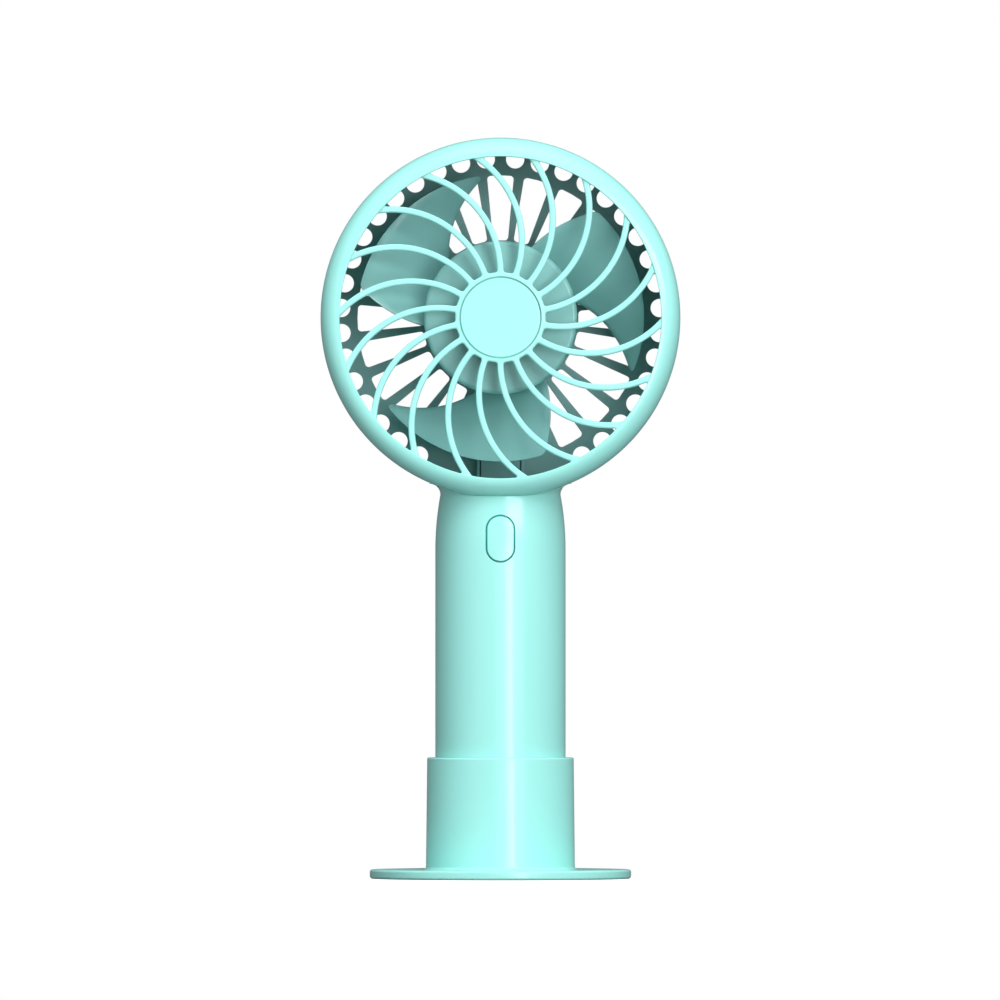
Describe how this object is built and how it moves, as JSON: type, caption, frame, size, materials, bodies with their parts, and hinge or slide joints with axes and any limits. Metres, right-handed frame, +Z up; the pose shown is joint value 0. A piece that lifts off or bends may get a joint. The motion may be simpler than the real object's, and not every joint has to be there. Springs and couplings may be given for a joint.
{
  "type": "handheld electric fan",
  "caption": "Handheld battery fan with a round grilled head, a straight round grip and a push button, standing in a round cup stand.",
  "frame": {"origin": "centre of the stand's underside, on the surface that the fan stands on", "axes": "+Z up along the grip, the fan blows towards -Y, +X to the right as seen from the front"},
  "size_m": [0.0998, 0.0726, 0.2057],
  "materials": {
    "case_mint": "gloss moulded ABS, mint green",
    "impeller_mint": "satin moulded ABS, deeper mint green",
    "steel": "zinc-plated steel",
    "capacitor_can": "bare aluminium can",
    "copper": "copper",
    "bronze": "sintered bronze",
    "ferrite": "dark grey ferrite and carbon",
    "nylon": "natural nylon",
    "black_plastic": "black moulding compound",
    "board_green": "green solder mask over glass epoxy",
    "cell_wrap": "blue shrink wrap on a metal cell",
    "nickel": "nickel strip",
    "wire_red": "red insulation",
    "wire_black": "black insulation",
    "led_lens": "clear epoxy"
  },
  "bodies": {
    "stand": {"stand": "case_mint"},
    "handle": {"front_shell": "case_mint", "rear_shell": "case_mint", "wire_cover": "case_mint", "grille_badge": "case_mint", "motor_cover": "case_mint", "case_screw_top": "steel", "case_screw_bottom": "steel", "board_screw_left": "steel", "board_screw_right": "steel", "motor_screw_1": "steel", "motor_screw_2": "steel", "motor_screw_3": "steel", "motor_can": "steel", "usb_shell": "steel", "filter_capacitor": "capacitor_can", "motor_terminal_left": "copper", "motor_terminal_right": "copper", "motor_bush_front": "bronze", "motor_bush_rear": "bronze", "motor_magnet_left": "ferrite", "motor_magnet_right": "ferrite", "motor_brush_left": "ferrite", "motor_brush_right": "ferrite", "motor_end_cap": "nylon", "switch_body": "black_plastic", "charger_chip": "black_plastic", "driver_chip": "black_plastic", "usb_tongue": "black_plastic", "circuit_board": "board_green", "battery_cell": "cell_wrap", "battery_tab_positive": "nickel", "battery_tab_negative": "nickel", "motor_wire_red": "wire_red", "battery_wire_red": "wire_red", "motor_wire_black": "wire_black", "battery_wire_black": "wire_black", "charge_led": "led_lens"},
    "rotor": {"impeller": "impeller_mint", "motor_shaft": "steel", "rotor_core": "steel", "rotor_coil_1": "copper", "rotor_coil_2": "copper", "rotor_coil_3": "copper", "commutator": "copper"},
    "button": {"power_button": "case_mint", "switch_plunger": "nylon"}
  },
  "joints": [
    {"name": "fan_lift", "type": "slide", "parent": "stand", "child": "handle", "axis": [0, 0, 1], "range_m": [0, 0.04]},
    {"name": "fan_spin", "type": "hinge", "parent": "handle", "child": "rotor", "pos_m": [0, 0, 0.1558], "axis": [0, 1, 0], "continuous": true},
    {"name": "button_press", "type": "slide", "parent": "handle", "child": "button", "axis": [0, 1, 0], "range_m": [0, 0.0005], "stiffness_N_per_m": 3000}
  ]
}
